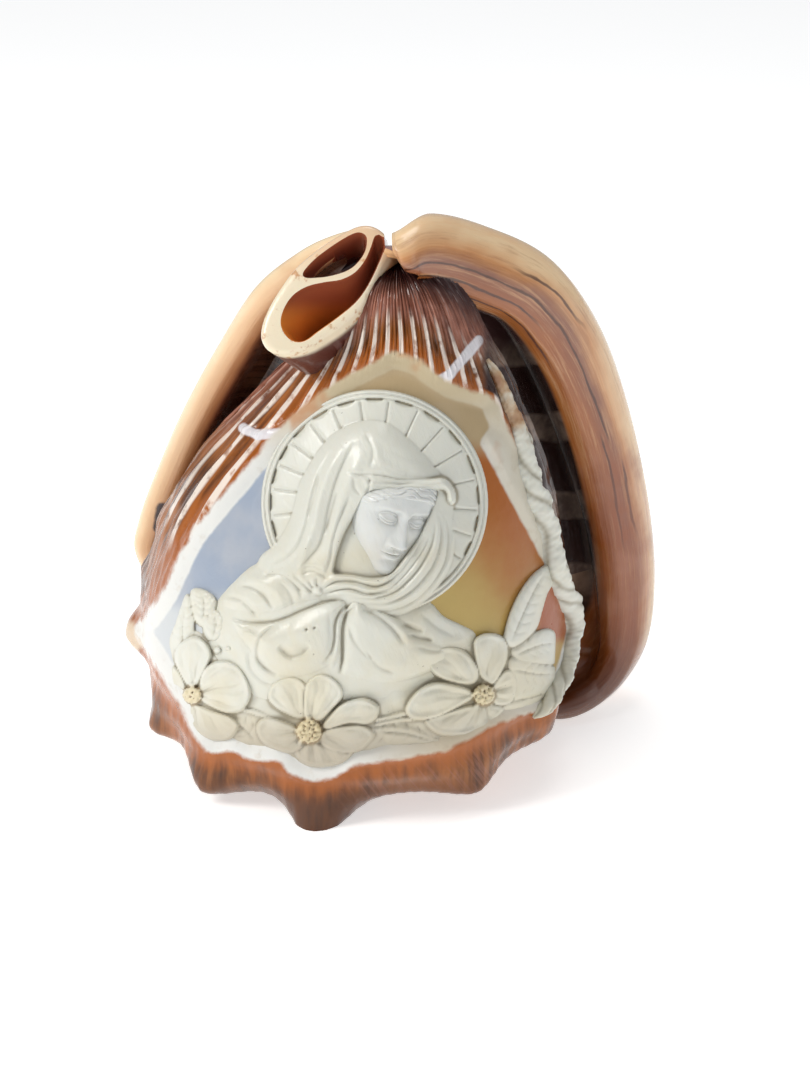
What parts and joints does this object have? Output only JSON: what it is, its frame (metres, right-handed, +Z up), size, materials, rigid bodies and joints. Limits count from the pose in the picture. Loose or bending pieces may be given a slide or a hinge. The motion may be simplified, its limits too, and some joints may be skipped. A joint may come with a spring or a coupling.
{
  "type": "carved cameo shell",
  "caption": "Whole helmet shell with a haloed, veiled figure and flowers carved in relief on its front, standing on its spire with the canal up.",
  "frame": {"origin": "middle of the footprint box, on the floor under the shell", "axes": "+Z up, from the ground spire to the canal; the carved front faces -Y; the outer lip is on +X and the mouth faces +Y"},
  "size_m": [0.1322, 0.0982, 0.1387],
  "materials": {
    "shell": "polished shell, cream relief with tan lip and red-brown outer layer"
  },
  "bodies": {
    "root": {"shell": "shell"}
  },
  "joints": []
}
